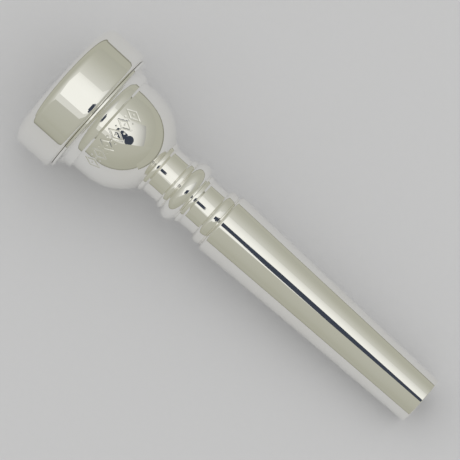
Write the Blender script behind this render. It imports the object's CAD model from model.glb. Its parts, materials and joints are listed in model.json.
"""Looks of the trumpet mouthpiece: rim, cup and backbore in silver plate, with two rubber O-rings.

Every piece is turned on a lathe, so each is an outline of [radius, height] in millimetres, spun round
the lathe's axis. Heights run from the crest of the rim, at 0, to the end of the shank, at 87.5.
Angles round the axis are in degrees, with 180 at the top of the mouthpiece and 270 on its -Y side.
"""

import json
import math

import bpy
import numpy as np
from mathutils import Matrix, Vector


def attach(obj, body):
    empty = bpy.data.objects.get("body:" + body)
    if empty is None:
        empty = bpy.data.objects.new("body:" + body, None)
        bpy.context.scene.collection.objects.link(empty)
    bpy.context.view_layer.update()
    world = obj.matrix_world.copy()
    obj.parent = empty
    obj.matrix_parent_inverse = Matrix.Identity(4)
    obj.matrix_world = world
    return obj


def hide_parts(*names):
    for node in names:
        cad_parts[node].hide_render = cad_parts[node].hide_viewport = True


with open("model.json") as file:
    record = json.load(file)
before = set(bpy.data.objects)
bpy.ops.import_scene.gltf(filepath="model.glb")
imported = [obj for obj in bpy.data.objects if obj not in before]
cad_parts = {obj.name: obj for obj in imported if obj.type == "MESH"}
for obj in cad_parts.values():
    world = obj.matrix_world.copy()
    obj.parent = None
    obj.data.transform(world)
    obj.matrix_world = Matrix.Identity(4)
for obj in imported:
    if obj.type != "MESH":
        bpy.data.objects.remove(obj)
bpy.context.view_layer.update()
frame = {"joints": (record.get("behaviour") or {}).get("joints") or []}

MM = 0.001
COLUMNS = 180  # facets round a piece
ARC_STEP = 9.0  # degrees between the points of a small rounded corner

# ---------------------------------------------------------------------------------------------
# Lathe frame


def lathe_matrix():
    """Takes a piece from the lathe's axis to where it lies, from the joint on that axis."""
    joint = next(j for j in frame["joints"] if j["name"] == "rim_turn")
    outward = Vector(joint["axis"]).normalized()
    crest = Vector(joint["pos_m"]) + 5 * MM * outward  # the joint's point is at height 5
    tilt = math.asin(outward.z)
    return Matrix.Translation(crest) @ Matrix.Rotation(math.pi / 2 + tilt, 4, "Y")


LATHE = lathe_matrix()

# ---------------------------------------------------------------------------------------------
# Outlines: each is a closed list of runs, and a run is a list of (r, z, normal r, normal z)


def ellipse(r, z, a, b, start, end, step=4.0):
    """Run along an ellipse about (r, z), from one angle to another in degrees."""
    count = max(2, math.ceil(abs(end - start) / step))
    run = []
    for i in range(count + 1):
        t = math.radians(start + (end - start) * i / count)
        normal = Vector((math.cos(t) / a, math.sin(t) / b)).normalized()
        run.append((r + a * math.cos(t), z + b * math.sin(t), normal.x, normal.y))
    return run


def straight(r0, z0, r1, z1, step):
    """Run of evenly spaced points along a straight line, for a stretch that gets relief."""
    count = math.ceil(math.hypot(r1 - r0, z1 - z0) / step)
    along = Vector((r1 - r0, z1 - z0)).normalized()
    run = []
    for i in range(count + 1):
        f = i / count
        run.append((r0 + (r1 - r0) * f, z0 + (z1 - z0) * f, along.y, -along.x))
    return run


def rounded(before, corner, after, radius):
    """Run round a corner, tangent to both of its sides."""
    p = Vector(corner)
    to_before = Vector(before) - p
    to_after = Vector(after) - p
    u = to_before.normalized()
    v = to_after.normalized()
    half = u.angle(v) / 2
    back = radius / math.tan(half)
    room = 0.49 * min(to_before.length, to_after.length)  # so two rounded corners never overlap
    if back > room:
        radius *= room / back
        back = room
    centre = p + (u + v).normalized() * (radius / math.sin(half))
    first = p + u * back - centre
    last = p + v * back - centre
    turn = first.angle_signed(last)
    count = max(2, math.ceil(abs(math.degrees(turn)) / ARC_STEP))
    run = []
    for i in range(count + 1):
        spoke = first.copy()
        spoke.rotate(Matrix.Rotation(-turn * i / count, 2))
        normal = spoke.normalized()
        run.append((centre.x + spoke.x, centre.y + spoke.y, normal.x, normal.y))
    return run


def as_runs(items):
    """Runs of a closed outline. An item is a run, or a corner (r, z) or (r, z, radius)."""
    ends = [(i[0][:2], i[-1][:2]) if isinstance(i, list) else (i[:2], i[:2]) for i in items]
    runs = []
    for k, item in enumerate(items):
        if isinstance(item, list):
            runs.append(item)
        elif len(item) == 2:
            runs.append([(item[0], item[1], 0.0, 0.0)])
        else:
            before = ends[k - 1][1]
            after = ends[(k + 1) % len(items)][0]
            runs.append(rounded(before, item[:2], after, item[2]))
    return runs


def trace(items):
    """Points of a closed outline, and the normals at the start and end of each of its sides."""
    points, starts, ends = [], [], []
    runs = as_runs(items)
    for k, run in enumerate(runs):
        after = runs[(k + 1) % len(runs)][0]
        for i, here in enumerate(run):
            last = i == len(run) - 1
            there = after if last else run[i + 1]
            side = Vector((there[0] - here[0], there[1] - here[1]))
            if side.length < 1e-6:
                continue
            across = Vector((side.y, -side.x)).normalized()
            points.append(here[:2])
            for store, end in ((starts, here), (ends, there)):
                normal = Vector(end[2:])
                if last:
                    normal = across
                elif normal.dot(across) < 0:
                    normal = -normal
                store.append(tuple(normal))
    points, starts, ends = np.array(points), np.array(starts), np.array(ends)
    following = np.roll(points, -1, axis=0)
    area = np.sum(points[:, 0] * following[:, 1] - following[:, 0] * points[:, 1])
    if area < 0:
        sides = (len(points) - 2 - np.arange(len(points))) % len(points)
        points = points[::-1]
        starts, ends = -ends[sides], -starts[sides]
    return points, starts, ends


# ---------------------------------------------------------------------------------------------
# Lathe


def grid_normals(grid):
    """Outward normals of a closed grid of points [row, column], from its neighbours."""
    along = np.roll(grid, -1, axis=0) - np.roll(grid, 1, axis=0)
    around = np.roll(grid, -1, axis=1) - np.roll(grid, 1, axis=1)
    normal = np.cross(around, along)
    return normal / np.linalg.norm(normal, axis=2, keepdims=True)


def is_machined(r, z):
    """Where the silver keeps the marks of the tool: the threads, their sockets and the bore. These
    are the space between the rim and the cup, and all that is inside the neck and the shank."""
    rim_joint = (r > 8.1) & (r < 11.2) & (z > 2.9) & (z < 8.99)
    bore_and_stub = (r < 4.45) & (z > 16.85)
    return rim_joint | bore_and_stub


def spun(normals, cos, sin):
    """Normals (r, z) of an outline's points, spun round the axis."""
    height = np.repeat(normals[:, 1:], cos.shape[1], axis=1)
    return np.stack([normals[:, :1] * cos, normals[:, :1] * sin, height], axis=2)


def corner_normals(grid, starts, ends, moved, cos, sin):
    """Normals of each face's four corners: the outline's own, or the grid's where relief moved it."""
    free = grid_normals(grid)
    at_start = np.where(moved[..., None], free, spun(starts, cos, sin))
    next_moved = np.roll(moved, -1, axis=0)
    at_end = np.where(next_moved[..., None], np.roll(free, -1, axis=0), spun(ends, cos, sin))
    corners = [at_start, np.roll(at_start, -1, axis=1), np.roll(at_end, -1, axis=1), at_end]
    return np.stack(corners, axis=2).reshape(-1, 3)


def grid_faces(rows, columns):
    """Faces of a closed grid, each as the numbers of its four points."""
    row, column = np.meshgrid(np.arange(rows), np.arange(columns), indexing="ij")
    next_row, next_column = (row + 1) % rows, (column + 1) % columns
    corners = [
        row * columns + column,
        row * columns + next_column,
        next_row * columns + next_column,
        next_row * columns + column,
    ]
    return np.stack(corners, axis=2).reshape(-1, 4)


def lathe_object(name, grid, normals, machined):
    """Object where it lies at rest, from a grid of points on the lathe in millimetres."""
    turn = np.array(LATHE.to_3x3())
    local = grid.reshape(-1, 3) * MM
    placed = local @ turn.T + np.array(LATHE.translation)
    faces = grid_faces(*grid.shape[:2])
    mesh = bpy.data.meshes.new(name)
    mesh.from_pydata(placed.tolist(), [], faces.tolist())
    mesh.attributes.new("on_lathe", "FLOAT_VECTOR", "POINT").data.foreach_set("vector", local.ravel())
    marks = mesh.attributes.new("machined", "FLOAT", "POINT")
    marks.data.foreach_set("value", machined.astype(np.float32).ravel())
    mesh.polygons.foreach_set("use_smooth", np.ones(len(faces), bool))
    mesh.normals_split_custom_set((normals @ turn.T).tolist())
    obj = bpy.data.objects.new(name, mesh)
    bpy.context.scene.collection.objects.link(obj)
    return obj


def turned(name, items, angles=None, relief=None):
    """Object spun from an outline. relief(r, z, angle) gives how far its points move outwards, and
    which of them take their normals from the mesh."""
    if angles is None:
        angles = np.arange(COLUMNS) * 360.0 / COLUMNS
    points, starts, ends = trace(items)
    rows, columns = len(points), len(angles)
    r = np.repeat(points[:, :1], columns, axis=1)
    z = np.repeat(points[:, 1:], columns, axis=1)
    moved = np.zeros(r.shape, bool)
    if relief is not None:
        shift, moved = relief(r, z, np.repeat(angles[None, :], rows, axis=0))
        r = r + shift
    theta = np.radians(angles)
    cos, sin = np.cos(theta)[None, :], np.sin(theta)[None, :]
    grid = np.stack([r * cos, r * sin, z], axis=2)
    normals = corner_normals(grid, starts, ends, moved, cos, sin)
    return lathe_object(name, grid, normals, is_machined(r, z))


# ---------------------------------------------------------------------------------------------
# Screw threads: the pitch and depth are the joints' own, so the threads stay in mesh as they turn

THREAD_STEP = 0.08  # mm between the rows of a thread
THREAD_GAP = 0.05  # mm between the mating threads
THREAD_FLANK = 1.35  # above 1, so a crest and a root are flat
RIM_THREAD = dict(crest_r=10.0, depth=0.36, pitch=0.9)
STUB_THREAD = dict(crest_r=3.5, depth=0.30, pitch=0.75)
RIM_BORE = RIM_THREAD["crest_r"] + THREAD_GAP
SOCKET_BORE = STUB_THREAD["crest_r"] + THREAD_GAP


def ramp(z, start, end):
    """0 before start, 1 after end, smooth between. start may be above end."""
    f = np.clip((z - start) / (end - start), 0, 1)
    return f * f * (3 - 2 * f)


def helix(z, angle, pitch, first, last, run_out):
    """A thread's wave, from -1 in its root to 1 on its crest, and how whole it is near its ends."""
    phase = z / pitch - angle / 360.0
    wave = np.clip(THREAD_FLANK * np.sin(2 * np.pi * phase), -1, 1)
    whole = ramp(z, first, first + run_out) * ramp(z, last, last - run_out)
    return wave, whole


def male_thread(r, z, angle, crest_r, depth, pitch, first, last, run_out):
    """Shift of a male thread cut below crest_r, from one height to another, and where it acts."""
    wave, whole = helix(z, angle, pitch, first, last, run_out)
    acts = (z > first) & (z < last) & (np.abs(r - crest_r) < 0.01)
    return np.where(acts, -depth + whole * depth * (1 + wave) / 2, 0.0), acts


def female_thread(r, z, angle, crest_r, depth, pitch, first, last, run_out):
    """Shift of the matching female thread, which stands in from its bore."""
    wave, whole = helix(z, angle, pitch, first, last, run_out)
    acts = (z > first) & (z < last) & (np.abs(r - crest_r - THREAD_GAP) < 0.01)
    return np.where(acts, -whole * depth * (1 - wave) / 2, 0.0), acts


# ---------------------------------------------------------------------------------------------
# Rim

CREST_R = 10.0
BITE_HEIGHT = 1.4
SHOULDER_HEIGHT = 2.2
BAND_R = 13.4
BAND_END = 7.7
EASE_R = 4.3  # the gentle arc at the end of the band, which turns by EASE_TURN degrees
EASE_TURN = 8.0
CORNER_R = 0.55
RIM_END = 9.0  # where the rim seats on the cup's flange


def band_edge():
    """The gentle arc that ends the band, and the rounded corner after it."""
    turn = math.radians(EASE_TURN)
    r = BAND_R - EASE_R + (EASE_R - CORNER_R) * math.cos(turn)
    z = BAND_END + (EASE_R - CORNER_R) * math.sin(turn)
    return [
        ellipse(BAND_R - EASE_R, BAND_END, EASE_R, EASE_R, 0, EASE_TURN, 1),
        ellipse(r, z, CORNER_R, CORNER_R, EASE_TURN + 0.5, 66, 4),
    ]


def make_rim():
    """The rim, with a female thread inside."""
    items = [
        # over the crest, from the bite out to the band
        ellipse(CREST_R, BITE_HEIGHT, 1.75, BITE_HEIGHT, 180, 270),
        ellipse(CREST_R, SHOULDER_HEIGHT, BAND_R - CREST_R, SHOULDER_HEIGHT, 270, 360, 3),
        *band_edge(),
        # the seat, the O-ring's groove, and the thread
        (12.35, RIM_END, 0.05),
        (11.09, RIM_END, 0.1),
        (11.09, 7.96, 0.12),
        (RIM_BORE, 7.96, 0.08),
        straight(RIM_BORE, 7.8, RIM_BORE, 3.3, THREAD_STEP),
        # the shoulder over the cup's mouth
        (RIM_BORE, 3.12, 0.08),
        (8.05, 3.12, 0.03),
    ]

    def relief(r, z, angle):
        return female_thread(r, z, angle, first=3.35, last=7.75, run_out=0.5, **RIM_THREAD)

    return turned("rim_turned", items, relief=relief)


# ---------------------------------------------------------------------------------------------
# Cup

MOUTH_R = 8.05
MOUTH_HEIGHT = 3.2
BOWL_DEPTH = 9.5
THROAT_R = 1.83
FLANGE_R = 12.6
RING_R = 10.7
RING_END = 11.85
BOWL_R = 10.04
BOWL_STRAIGHT_END = 13.5
BOWL_UPPER_ARC = 21.0  # radius
BOWL_SPLIT = 16.0  # height where the two arcs meet
BOWL_LOWER_ARC = 10.6  # radius
BOWL_END = 23.34  # just short of the seat, for the rounded edge
CUP_END = 23.4  # the seat on the backbore


def bowl_outside():
    """The bowl's outline below its straight top: two arcs that meet smoothly."""
    split = math.asin((BOWL_SPLIT - BOWL_STRAIGHT_END) / BOWL_UPPER_ARC)
    lower_r = BOWL_R - BOWL_UPPER_ARC + (BOWL_UPPER_ARC - BOWL_LOWER_ARC) * math.cos(split)
    lower_z = BOWL_SPLIT - BOWL_LOWER_ARC * math.sin(split)
    end = math.degrees(math.asin((BOWL_END - lower_z) / BOWL_LOWER_ARC))
    split = math.degrees(split)
    upper = ellipse(
        BOWL_R - BOWL_UPPER_ARC, BOWL_STRAIGHT_END, BOWL_UPPER_ARC, BOWL_UPPER_ARC, 0, split, 0.3
    )
    lower = ellipse(lower_r, lower_z, BOWL_LOWER_ARC, BOWL_LOWER_ARC, split, end, 1.5)
    return [upper, lower]


def bowl_inside():
    """From the throat up to the cup's mouth: the throat's rounded shoulder, then half an ellipse."""
    join = 71  # angle on the ellipse where the shoulder takes over, in degrees
    start = math.radians(join)
    slope = math.atan2(BOWL_DEPTH * math.cos(start), MOUTH_R * math.sin(start))
    r0 = MOUTH_R * math.cos(start)
    z0 = MOUTH_HEIGHT + BOWL_DEPTH * math.sin(start)
    radius = (r0 - THROAT_R) / (1 - math.sin(slope))
    end = 270 - math.degrees(slope)
    centre_z = z0 + radius * math.cos(slope)
    shoulder = ellipse(THROAT_R + radius, centre_z, radius, radius, 180, end, 5)
    return [shoulder, ellipse(0, MOUTH_HEIGHT, MOUTH_R, BOWL_DEPTH, join, 0, 2)]


# The engraved row on the bowl: lozenges with a punched centre, and three punched dots between them
ROW_START = 163.5  # angle of the middle of the first lozenge
ROW_STEP = 13.8  # degrees from one lozenge to the next
LOZENGES = 6
ROW_Z = 14.45
LOZENGE = (0.8, 1.5)  # half its width round the bowl, and half its height along it
ROW_EDGE = 0.3  # how far a cut may reach past a lozenge's corner
STROKE = 0.36  # width of a cut
PUNCH_R = 0.24  # the mark at a lozenge's centre
DOT_R = 0.22
DOT_HEIGHTS = (-0.95, 0.0, 0.95)
CUT_DEPTH = 0.07
FINE_COLUMN = 0.6  # degrees between the columns under the row
COARSE_COLUMN = 2.6  # and between those of the rest of the cup
ROW_MARGIN = 6.0  # degrees of fine columns past the middle of the first and last lozenges


def cup_columns():
    """Angles of the cup's columns, which are close together under the engraved row."""
    first = ROW_START - ROW_MARGIN
    last = ROW_START + (LOZENGES - 1) * ROW_STEP + ROW_MARGIN
    fine = np.arange(first, last, FINE_COLUMN)
    rest = 360 - (last - first)
    count = round(rest / COARSE_COLUMN)
    return np.concatenate([fine, last + rest * np.arange(count) / count])


def cut_at(distance, half_width):
    """Depth of a cut with rounded sides, at a distance from its middle."""
    return -CUT_DEPTH * ramp(distance, half_width, 0.15 * half_width)


def engraving(r, z, angle):
    """Shift of the engraved row, and where it acts."""
    reach = LOZENGE[1] + ROW_EDGE
    on_bowl = (r > 9.5) & (z > ROW_Z - reach) & (z < ROW_Z + reach)
    mm_per_degree = math.radians(BOWL_R)
    v = z - ROW_Z
    depth = np.zeros(r.shape)
    for k in range(LOZENGES):
        u = (angle - ROW_START - k * ROW_STEP) * mm_per_degree
        edge = np.abs(np.abs(u) / LOZENGE[0] + np.abs(v) / LOZENGE[1] - 1)
        edge /= math.hypot(1 / LOZENGE[0], 1 / LOZENGE[1])
        depth = np.minimum(depth, cut_at(edge, STROKE / 2))
        depth = np.minimum(depth, cut_at(np.hypot(u, v), PUNCH_R))
        if k == LOZENGES - 1:
            break
        between = u - ROW_STEP * mm_per_degree / 2
        for height in DOT_HEIGHTS:
            depth = np.minimum(depth, cut_at(np.hypot(between, v - height), DOT_R))
    depth = np.where(on_bowl, depth, 0.0)
    return depth, depth < -1e-6


def cup_outside():
    """From the cup's mouth down to its seat on the backbore."""
    crest = RIM_THREAD["crest_r"]
    return [
        # the thread, and the flange that the rim seats on
        (crest, MOUTH_HEIGHT, 0.1),
        straight(crest, 3.4, crest, 7.7, THREAD_STEP),
        (crest, RIM_END, 0.05),
        (FLANGE_R, RIM_END, 0.14),
        (FLANGE_R, 9.5, 0.14),
        # the cove under the flange, the ring, and the bevel under it
        ellipse(12.45, 11.1, -1.75, -1.6, 88, 0, 5),
        (RING_R, RING_END, 0.06),
        (10.26, RING_END + 0.05, 0.03),
        (BOWL_R, RING_END + 0.35, 0.03),
        # the bowl, whose straight top carries part of the engraving
        straight(BOWL_R, 12.3, BOWL_R, BOWL_STRAIGHT_END, 0.1),
        *bowl_outside(),
    ]


def cup_inside():
    """From the seat up through the threaded socket and the throat to the mouth."""
    return [
        (5.44, CUP_END, 0.04),
        (4.39, CUP_END, 0.06),
        (4.39, 22.56, 0.1),
        (SOCKET_BORE, 22.56, 0.08),
        straight(SOCKET_BORE, 22.4, SOCKET_BORE, 17.1, THREAD_STEP),
        (SOCKET_BORE, 16.92, 0.05),
        (THROAT_R, 16.92, 0.04),
        *bowl_inside(),
    ]


def cup_relief(r, z, angle):
    """The thread outside, the thread in the socket, and the engraving."""
    outer, on_outer = male_thread(r, z, angle, first=3.42, last=7.68, run_out=0.4, **RIM_THREAD)
    inner, on_inner = female_thread(r, z, angle, first=17.15, last=22.35, run_out=0.45, **STUB_THREAD)
    cut, engraved = engraving(r, z, angle)
    return outer + inner + cut, on_outer | on_inner | engraved


def make_cup():
    outline = cup_outside() + cup_inside()
    return turned("cup_turned", outline, angles=cup_columns(), relief=cup_relief)


# ---------------------------------------------------------------------------------------------
# Backbore

NECK_R = 4.97
CROWN_R = 1.5
WAIST_R = 65.0  # radius of the hollow of the neck's plain stretches
WAIST_DEPTH = 0.02
BEAD = (4.45, 30.47, 1.85)  # centre and radius of the bead's arc
GROOVE_R = 5.42
LENGTH = 87.5


def crowned(r, z):
    """The slightly rounded face of a ring on the neck, with its crest at (r, z)."""
    return ellipse(r - CROWN_R, z, CROWN_R, CROWN_R, -12, 12, 3)


def waist(z0, z1):
    """A plain stretch of the neck, hollowed a little, so that highlights taper on it."""
    turn = math.degrees(math.asin((z1 - z0) / 2 / WAIST_R))
    return ellipse(
        NECK_R + WAIST_R - WAIST_DEPTH, (z0 + z1) / 2, -WAIST_R, WAIST_R, -turn, turn, 0.3
    )


def neck():
    """From the seat of the cup down to the groove above the shank."""
    return [
        # the ring under the cup, the upper neck, and the step
        (5.37, CUP_END, 0.03),
        crowned(5.43, 23.73),
        (NECK_R, 24.42, 0.1),
        waist(24.55, 27.76),
        ellipse(NECK_R, 28.4, 0.48, -0.6, 84, 0, 10),
        (5.45, 28.8, 0.06),
        (5.22, 28.92, 0.03),
        # the bead, the ring below it, and the lower neck
        ellipse(BEAD[0], BEAD[1], BEAD[2], BEAD[2], -50, 50, 2.5),
        (5.04, 31.97, 0.03),
        (5.04, 32.17, 0.03),
        crowned(5.33, 32.6),
        (NECK_R, 33.27, 0.1),
        waist(33.4, 36.54),
        # the shoulder band, with its slightly rounded face, and the groove
        ellipse(NECK_R, 37.5, 0.78, -0.92, 86, 0, 5),
        ellipse(2.55, 37.8, 3.2, 3.2, 0.5, 11, 2),
        (GROOVE_R, 38.52, 0.03),
        (GROOVE_R, 38.68, 0.03),
    ]


def make_backbore():
    """The threaded stub, the neck and the tapered shank, with the bore through them."""
    crest = STUB_THREAD["crest_r"]
    items = [
        # the threaded stub
        (THROAT_R, 17.0, 0.04),
        (crest, 17.0, 0.1),
        straight(crest, 17.2, crest, 22.3, THREAD_STEP),
        (crest, CUP_END, 0.04),
        *neck(),
        # the shank, from its rounded top to its end, with the standard taper at its lower half
        ellipse(GROOVE_R, 39.28, 0.75, -0.58, 86, 0, 5),
        (5.53, 61.5, 3.0),
        (4.88, LENGTH, 0.16),
        # the bore, which flares faster near the throat
        (4.33, LENGTH, 0.12),
        (3.75, 66.0, 4.0),
        (2.75, 42.0, 4.0),
        (THROAT_R, 24.0, 3.0),
    ]

    def relief(r, z, angle):
        return male_thread(r, z, angle, first=17.22, last=22.28, run_out=0.4, **STUB_THREAD)

    return turned("backbore_turned", items, relief=relief)


# ---------------------------------------------------------------------------------------------
# O-rings


def make_seal(name, centre_r, z, radius):
    """O-ring, with the centre of its round section at (centre_r, z)."""
    section = ellipse(centre_r, z, radius, radius, 0, 360, 10)[:-1]  # its last point is its first
    return turned(name, [section])


def make_rim_o_ring():
    return make_seal("rim_o_ring", 10.55, 8.48, 0.5)


def make_backbore_o_ring():
    return make_seal("backbore_o_ring", 3.95, 22.98, 0.4)


# ---------------------------------------------------------------------------------------------
# Materials

SILVER = (0.935, 0.93, 0.905)
TARNISH = (0.92, 0.908, 0.868)
RUBBER = (0.022, 0.022, 0.024)
BLOOM = (0.05, 0.05, 0.052)
MACHINED_ROUGHNESS = 0.2


def new_material(name):
    """Material with its nodes, its links and its shader."""
    material = bpy.data.materials.new(name)
    material.use_nodes = True
    nodes = material.node_tree.nodes
    return material, nodes, material.node_tree.links, nodes["Principled BSDF"]


def attribute(nodes, name, output):
    """Output of one of the attributes that every lathe object carries."""
    node = nodes.new("ShaderNodeAttribute")
    node.attribute_name = name
    return node.outputs[output]


def noise(nodes, links, vector, scale, detail=2.0):
    node = nodes.new("ShaderNodeTexNoise")
    node.inputs["Scale"].default_value = scale
    node.inputs["Detail"].default_value = detail
    links.new(vector, node.inputs["Vector"])
    return node.outputs["Fac"]


def spread(nodes, links, value, low, high, low_to, high_to):
    """Map one range of a value onto another."""
    node = nodes.new("ShaderNodeMapRange")
    node.inputs["From Min"].default_value = low
    node.inputs["From Max"].default_value = high
    node.inputs["To Min"].default_value = low_to
    node.inputs["To Max"].default_value = high_to
    links.new(value, node.inputs["Value"])
    return node.outputs["Result"]


def blend(nodes, links, factor, a, b):
    """Number or output a where the factor is 0, and b where it is 1."""
    node = nodes.new("ShaderNodeMix")
    links.new(factor, node.inputs["Factor"])
    for value, socket in ((a, node.inputs["A"]), (b, node.inputs["B"])):
        if isinstance(value, float):
            socket.default_value = value
        else:
            links.new(value, socket)
    return node.outputs["Result"]


def tint(nodes, links, factor, a, b):
    """Colour a where the factor is 0, and b where it is 1."""
    node = nodes.new("ShaderNodeMix")
    node.data_type = "RGBA"
    node.inputs[6].default_value = (*a, 1)
    node.inputs[7].default_value = (*b, 1)
    links.new(factor, node.inputs[0])
    return node.outputs[2]


def turning_lines(nodes, links, place, scale):
    """Noise that depends on the radius and the height alone, so it makes rings round the lathe."""
    split = nodes.new("ShaderNodeSeparateXYZ")
    links.new(place, split.inputs[0])
    flat = nodes.new("ShaderNodeCombineXYZ")
    links.new(split.outputs["X"], flat.inputs["X"])
    links.new(split.outputs["Y"], flat.inputs["Y"])
    radius = nodes.new("ShaderNodeVectorMath")
    radius.operation = "LENGTH"
    links.new(flat.outputs[0], radius.inputs[0])
    ring = nodes.new("ShaderNodeCombineXYZ")
    links.new(radius.outputs["Value"], ring.inputs["X"])
    links.new(split.outputs["Z"], ring.inputs["Z"])
    return noise(nodes, links, ring.outputs[0], scale)


def bump(nodes, links, height, strength, distance, under=None):
    """Normal of a bump, on top of another one's if that is given."""
    node = nodes.new("ShaderNodeBump")
    node.inputs["Strength"].default_value = strength
    node.inputs["Distance"].default_value = distance
    links.new(height, node.inputs["Height"])
    if under is not None:
        links.new(under, node.inputs["Normal"])
    return node.outputs["Normal"]


def silver_plate():
    """Mirror-bright plate: a faint warm tarnish in patches, haze from handling, and fine rings left
    by polishing on the lathe, which are coarse where the tool's marks were not polished out."""
    material, nodes, links, shader = new_material("silver_plate")
    place = attribute(nodes, "on_lathe", "Vector")
    machined = attribute(nodes, "machined", "Fac")
    shader.inputs["Metallic"].default_value = 1.0

    clouds = noise(nodes, links, place, scale=90, detail=3.0)
    patches = spread(nodes, links, clouds, 0.35, 0.7, 0.0, 1.0)
    links.new(tint(nodes, links, patches, SILVER, TARNISH), shader.inputs["Base Color"])

    smears = noise(nodes, links, place, scale=260, detail=4.0)
    haze = spread(nodes, links, smears, 0.35, 0.75, 0.02, 0.05)
    roughness = blend(nodes, links, machined, haze, MACHINED_ROUGHNESS)
    links.new(roughness, shader.inputs["Roughness"])

    polish = spread(nodes, links, turning_lines(nodes, links, place, 7000), 0, 1, 0.0, 0.06)
    tool = turning_lines(nodes, links, place, 2600)
    rings = bump(nodes, links, blend(nodes, links, machined, polish, tool), 0.25, 0.00002)
    grain = noise(nodes, links, place, scale=1500)
    links.new(bump(nodes, links, grain, 0.04, 0.00001, rings), shader.inputs["Normal"])
    return material


def seal_rubber():
    """Black nitrile with a dull bloom in patches and a fine moulded grain."""
    material, nodes, links, shader = new_material("seal_rubber")
    place = attribute(nodes, "on_lathe", "Vector")
    clouds = noise(nodes, links, place, scale=500, detail=3.0)
    bloom = spread(nodes, links, clouds, 0.4, 0.7, 0.0, 1.0)
    links.new(tint(nodes, links, bloom, RUBBER, BLOOM), shader.inputs["Base Color"])
    links.new(spread(nodes, links, bloom, 0, 1, 0.38, 0.6), shader.inputs["Roughness"])
    grain = noise(nodes, links, place, scale=6000)
    links.new(bump(nodes, links, grain, 0.3, 0.00002), shader.inputs["Normal"])
    return material


# ---------------------------------------------------------------------------------------------
# Pieces

silver = silver_plate()
rubber = seal_rubber()
for piece, body, node, slot, material in (
    (make_rim(), "rim_body", "rim", "silver_plate", silver),
    (make_cup(), "cup_body", "cup", "silver_plate", silver),
    (make_backbore(), "backbore_body", "backbore", "silver_plate", silver),
    (make_rim_o_ring(), "rim_seal_body", "rim_seal", "seal_rubber", rubber),
    (make_backbore_o_ring(), "backbore_seal_body", "backbore_seal", "seal_rubber", rubber),
):
    piece.data.materials.append(material)
    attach(piece, body)
    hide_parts(node)

# ---------------------------------------------------------------------------------------------
# Camera

AZIMUTH = math.radians(41.35)
ELEVATION = math.radians(80.9)
DISTANCE = 1.0
LENS = 432
SENSOR_WIDTH = 36
VIEW_HEIGHT = 41.09  # height on the lathe's axis that the camera looks at
VIEW_SIDE = 0.136  # and how far past the axis, in millimetres towards +Y


def on_axis(z):
    """Point on the lathe's axis at a height in millimetres."""
    return LATHE @ Vector((0, 0, z * MM))


def add_camera():
    """Camera high above the mouthpiece, far off with a long lens."""
    back = Vector((
        math.sin(AZIMUTH) * math.cos(ELEVATION),
        -math.cos(AZIMUTH) * math.cos(ELEVATION),
        math.sin(ELEVATION),
    ))
    camera = bpy.data.objects.new("camera", bpy.data.cameras.new("camera"))
    camera.data.sensor_width = SENSOR_WIDTH
    camera.data.lens = LENS
    camera.data.clip_end = 20
    camera.location = on_axis(VIEW_HEIGHT) + Vector((0, VIEW_SIDE * MM, 0)) + back * DISTANCE
    camera.rotation_mode = "QUATERNION"
    camera.rotation_quaternion = back.to_track_quat("Z", "Y")
    bpy.context.scene.collection.objects.link(camera)
    bpy.context.scene.camera = camera


add_camera()

# ---------------------------------------------------------------------------------------------
# Stage

RIGHT = Vector((math.cos(AZIMUTH), math.sin(AZIMUTH), 0))  # to the right in the picture
UP = Vector((-math.sin(AZIMUTH), math.cos(AZIMUTH), 0))  # up in the picture

FLOOR_SIZE = 3.0
FLOOR_ALBEDO = 0.5
FLOOR_GRAIN = 0.006  # how far the floor's grain strays from its albedo
FILL = 0.96  # even white light on matt surfaces
SILVER_ALBEDO = 0.93  # share of the light that the plate mirrors back

# The light tent and what is in it. Places are (right, up) in the picture and heights above the floor,
# in metres, and colours are 8-bit sRGB, as the silver mirrors them. A row of a ramp is a position
# and a colour.

# Colours of the tent by the height of a direction, from the horizon at 0 to the zenith at 1
TENT = [
    (0.0, 138, 138, 126),
    (0.02, 142, 142, 130),
    (0.05, 162, 162, 149),
    (0.105, 166, 166, 153),
    (0.25, 169, 169, 157),
    (0.384, 172, 172, 160),
    (0.50, 175, 175, 163),
    (0.606, 181, 181, 170),
    (0.70, 187, 187, 177),
    (0.78, 193, 193, 184),
    (0.875, 201, 201, 193),
    (0.93, 208, 208, 201),
    (0.98, 211, 211, 204),
]

SOFTBOX_HEIGHT = 1.0
SOFTBOX = [(-0.30, -0.315), (1.3, -0.95), (1.3, 0.29), (-0.30, 0.29)]
SOFTBOX_RAMP = [  # from its lower edge to its upper one
    (0.0, 240, 240, 234),
    (0.80, 240, 240, 234),
    (0.92, 236, 236, 230),
    (1.0, 230, 230, 223),
]
SOFTBOX_FADE = (0.2, 1.3, 0.42)  # it fades between these two places, to this share of its light
APRON_HEIGHT = 1.01
APRON = [(-0.62, -0.95), (1.3, -1.1), (1.3, -0.9), (-0.3, -0.3), (-0.3, 0.0), (-0.62, -0.1)]
APRON_GREY = (210, 210, 203)

NEAR_HEIGHT = 0.15
NEAR_BACK = [(-0.3, -1.1), (1.5, -1.1)]
NEAR_EDGE = [
    (1.5, -0.57), (0.4, -0.19), (0.152, -0.10),
    (0.035, -0.068), (-0.08, -0.046), (-0.3, -0.03),
]
NEAR_SPAN = (-1.1, -0.045)  # where its ramp starts and ends
NEAR_RAMP = [  # from its far side to its edge
    (0.0, 163, 163, 150),
    (0.64, 166, 166, 153),
    (0.81, 169, 169, 156),
    (0.885, 173, 173, 161),
    (0.958, 176, 176, 164),
    (1.0, 178, 178, 167),
]

TENT_FOOT = [(-0.36, 0.0), (0.057, 0.123), (0.13, 0.145), (0.05, -0.14)]
CREASE_HEIGHT = 0.007
WALL_HEIGHT = 0.045
WALL_BEIGE = (171, 171, 158)
CREASE_GREY = (138, 138, 126)

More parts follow.
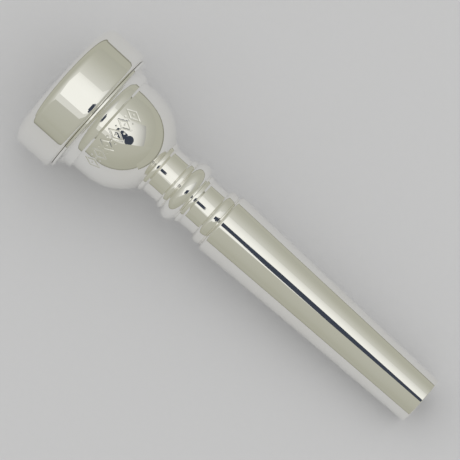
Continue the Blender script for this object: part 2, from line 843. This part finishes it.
# The gear hangs just under the camera. Its places are (along the mouthpiece, across it) in metres.
GEAR_DISTANCE = 0.99
GEAR_BLACK = (58, 64, 76)
GEAR_BODY = [
    (-0.018, -0.105), (0.068, -0.105), (0.082, -0.142), (0.215, -0.142),
    (0.215, 0.165), (0.078, 0.165), (0.066, 0.108), (-0.018, 0.108),
]
GEAR_DISC = (0.390, -0.010, 0.185, 0.195)  # its centre and its two radii
GEAR_DISC_SIDES = 48

KEY_WATTS = 24.0
KEY_HEIGHT = 3.0
KEY_SIDE = (0.45, 0.1)  # how far right and up it hangs, for each metre of its height
KEY_SIZE = (1.4, 1.0)  # and its size, for each metre of its height


def srgb(*values):
    """Linear colour of an 8-bit sRGB colour."""
    linear = []
    for v in values:
        c = v / 255
        linear.append(c / 12.92 if c <= 0.04045 else ((c + 0.055) / 1.055) ** 2.4)
    return tuple(linear)


def after_matt_surface(nodes, links):
    """1 for a ray that has already met a matt surface, and 0 for any other."""
    path = nodes.new("ShaderNodeLightPath")
    test = nodes.new("ShaderNodeMath")
    test.operation = "GREATER_THAN"
    test.inputs[1].default_value = 0.5
    links.new(path.outputs["Diffuse Depth"], test.inputs[0])
    return test.outputs[0]


def emission(name, colour=(1, 1, 1)):
    """Material of a panel that mirrors show. It is clear to a ray that has met a matt surface, so
    the light that the silver throws on the floor comes from the world alone."""
    material = bpy.data.materials.new(name)
    material.use_nodes = True
    nodes, links = material.node_tree.nodes, material.node_tree.links
    nodes.clear()
    light = nodes.new("ShaderNodeEmission")
    light.inputs["Color"].default_value = (*colour, 1)
    clear = nodes.new("ShaderNodeBsdfTransparent")
    mix = nodes.new("ShaderNodeMixShader")
    links.new(after_matt_surface(nodes, links), mix.inputs[0])
    links.new(light.outputs[0], mix.inputs[1])
    links.new(clear.outputs[0], mix.inputs[2])
    out = nodes.new("ShaderNodeOutputMaterial")
    links.new(mix.outputs[0], out.inputs["Surface"])
    return material


def only_in_reflections(obj):
    """Hide a stage object from all but mirrors."""
    obj.visible_camera = False
    obj.visible_diffuse = False
    obj.visible_transmission = False
    obj.visible_volume_scatter = False
    obj.visible_shadow = False


def polygon(name, corners, material, place=Matrix()):
    """Flat object with one face."""
    mesh = bpy.data.meshes.new(name)
    mesh.from_pydata([tuple(c) for c in corners], [], [tuple(range(len(corners)))])
    mesh.materials.append(material)
    obj = bpy.data.objects.new(name, mesh)
    obj.matrix_world = place
    bpy.context.scene.collection.objects.link(obj)
    return obj


def overhead(name, height, corners, material):
    """A flat panel above the mouthpiece. Its corners are (right, up) in the picture, in metres."""
    picture = Matrix((RIGHT, UP, (0, 0, 1))).transposed().to_4x4()
    place = Matrix.Translation((0, 0, height)) @ picture
    only_in_reflections(polygon(name, [(x, y, 0) for x, y in corners], material, place))


def wall(name, left, right, low, high, material):
    """An upright panel on the floor between two points, each (right, up) in the picture."""
    a = RIGHT * left[0] + UP * left[1]
    b = RIGHT * right[0] + UP * right[1]
    rise = Vector((0, 0, 1))
    corners = [a + rise * low, b + rise * low, b + rise * high, a + rise * high]
    only_in_reflections(polygon(name, corners, material))


def seen(*values):
    """Light that the silver mirrors back as this 8-bit sRGB colour."""
    return tuple(c / SILVER_ALBEDO for c in srgb(*values))


def add_ramp(nodes, table):
    """Colour ramp from rows of a position and a colour, the colours as the silver mirrors them."""
    shade = nodes.new("ShaderNodeValToRGB")
    stops = shade.color_ramp
    while len(stops.elements) < len(table):
        stops.elements.new(0.5)
    for stop, (at, *colour) in zip(stops.elements, table):
        stop.position = at
        stop.color = (*seen(*colour), 1)
    return shade


def local_axis(nodes, links, axis):
    """One coordinate of a point in its object's own frame."""
    where = nodes.new("ShaderNodeTexCoord")
    split = nodes.new("ShaderNodeSeparateXYZ")
    links.new(where.outputs["Object"], split.inputs[0])
    return split.outputs[axis]


def ramp_emission(name, start, end, table):
    """Emission whose colour runs up the panel, from start to end in metres."""
    material = emission(name)
    nodes, links = material.node_tree.nodes, material.node_tree.links
    along = spread(nodes, links, local_axis(nodes, links, "Y"), start, end, 0.0, 1.0)
    shade = add_ramp(nodes, table)
    links.new(along, shade.inputs[0])
    links.new(shade.outputs[0], nodes["Emission"].inputs["Color"])
    return material


def fade_to_the_right(material, start, end, share):
    """Dim a panel from start to end in metres, down to a share of its light."""
    nodes, links = material.node_tree.nodes, material.node_tree.links
    fade = spread(nodes, links, local_axis(nodes, links, "X"), start, end, 1.0, share)
    links.new(fade, nodes["Emission"].inputs["Strength"])


def add_floor():
    """Matt grey floor with a fine grain."""
    material, nodes, links, shader = new_material("floor")
    shader.inputs["Roughness"].default_value = 0.8
    shader.inputs["Specular IOR Level"].default_value = 0.2
    where = nodes.new("ShaderNodeTexCoord")
    grain = noise(nodes, links, where.outputs["Object"], scale=900, detail=4.0)
    low, high = FLOOR_ALBEDO - FLOOR_GRAIN, FLOOR_ALBEDO + FLOOR_GRAIN
    links.new(spread(nodes, links, grain, 0, 1, low, high), shader.inputs["Base Color"])
    size = FLOOR_SIZE
    corners = [(-size, -size, 0), (size, -size, 0), (size, size, 0), (-size, size, 0)]
    polygon("floor", corners, material)


def add_world():
    """Even white light for matt surfaces, and the grey and beige of a light tent for mirrors."""
    world = bpy.data.worlds.new("studio")
    bpy.context.scene.world = world
    world.use_nodes = True
    nodes, links = world.node_tree.nodes, world.node_tree.links
    nodes.clear()
    soft = nodes.new("ShaderNodeBackground")
    soft.inputs["Color"].default_value = (1, 1, 1, 1)
    soft.inputs["Strength"].default_value = FILL
    tent = nodes.new("ShaderNodeBackground")
    tent.inputs["Strength"].default_value = 1.0
    where = nodes.new("ShaderNodeTexCoord")
    split = nodes.new("ShaderNodeSeparateXYZ")
    links.new(where.outputs["Generated"], split.inputs[0])
    shade = add_ramp(nodes, TENT)
    links.new(split.outputs["Z"], shade.inputs[0])
    links.new(shade.outputs[0], tent.inputs["Color"])
    path = nodes.new("ShaderNodeLightPath")
    direct = nodes.new("ShaderNodeMath")
    direct.operation = "SUBTRACT"
    direct.use_clamp = True
    links.new(path.outputs["Is Glossy Ray"], direct.inputs[0])
    links.new(after_matt_surface(nodes, links), direct.inputs[1])
    mix = nodes.new("ShaderNodeMixShader")
    links.new(direct.outputs[0], mix.inputs[0])
    links.new(soft.outputs[0], mix.inputs[1])
    links.new(tent.outputs[0], mix.inputs[2])
    out = nodes.new("ShaderNodeOutputWorld")
    links.new(mix.outputs[0], out.inputs["Surface"])


def add_softbox():
    """The white softbox overhead, and the grey apron round its left and lower edges."""
    low = min(y for _, y in SOFTBOX)
    high = max(y for _, y in SOFTBOX)
    white = ramp_emission("softbox_white", low, high, SOFTBOX_RAMP)
    fade_to_the_right(white, *SOFTBOX_FADE)
    overhead("softbox", SOFTBOX_HEIGHT, SOFTBOX, white)
    overhead("apron", APRON_HEIGHT, APRON, emission("apron_grey", seen(*APRON_GREY)))


def add_near_panel():
    """Beige side of the tent that leans over the mouthpiece from below in the picture."""
    beige = ramp_emission("near_beige", *NEAR_SPAN, NEAR_RAMP)
    overhead("near_panel", NEAR_HEIGHT, NEAR_BACK + NEAR_EDGE, beige)


def add_back_wall():
    """The foot of the tent behind the mouthpiece, and past its shank: beige, with a dark crease."""
    beige = emission("wall_beige", seen(*WALL_BEIGE))
    crease = emission("wall_foot", seen(*CREASE_GREY))
    for k, (a, b) in enumerate(zip(TENT_FOOT, TENT_FOOT[1:])):
        wall(f"back_wall_{k}", a, b, CREASE_HEIGHT, WALL_HEIGHT, beige)
        wall(f"back_wall_foot_{k}", a, b, 0.0, CREASE_HEIGHT, crease)


def add_gear():
    """The dark photographic gear above, which shows as small black marks in the silver."""
    aim = on_axis(VIEW_HEIGHT)
    view = (bpy.context.scene.camera.location - aim).normalized()
    axis = (LATHE.to_3x3() @ Vector((0, 0, 1))).normalized()
    along = (axis - view * axis.dot(view)).normalized()
    across = along.cross(view)
    centre = aim + view * GEAR_DISTANCE
    dark = emission("gear_black", seen(*GEAR_BLACK))

    def place(corners):
        return [centre + along * a + across * b for a, b in corners]

    only_in_reflections(polygon("gear_body", place(GEAR_BODY), dark))
    middle_a, middle_b, radius_a, radius_b = GEAR_DISC
    disc = []
    for k in range(GEAR_DISC_SIDES):
        t = 2 * math.pi * k / GEAR_DISC_SIDES
        disc.append((middle_a + radius_a * math.cos(t), middle_b + radius_b * math.sin(t)))
    only_in_reflections(polygon("gear_disc", place(disc), dark))


def add_key_light():
    """Soft light from the side of the softbox. It is far off, so that it falls evenly."""
    light = bpy.data.lights.new("key", "AREA")
    light.shape = "RECTANGLE"
    light.size = KEY_SIZE[0] * KEY_HEIGHT
    light.size_y = KEY_SIZE[1] * KEY_HEIGHT
    light.energy = KEY_WATTS
    key = bpy.data.objects.new("key", light)
    key.location = (RIGHT * KEY_SIDE[0] + UP * KEY_SIDE[1] + Vector((0, 0, 1.0))) * KEY_HEIGHT
    key.rotation_mode = "QUATERNION"
    key.rotation_quaternion = key.location.to_track_quat("Z", "Y")
    key.visible_glossy = False
    bpy.context.scene.collection.objects.link(key)


add_floor()
add_world()
add_softbox()
add_near_panel()
add_back_wall()
add_gear()
add_key_light()
bpy.context.scene.view_settings.view_transform = "Standard"
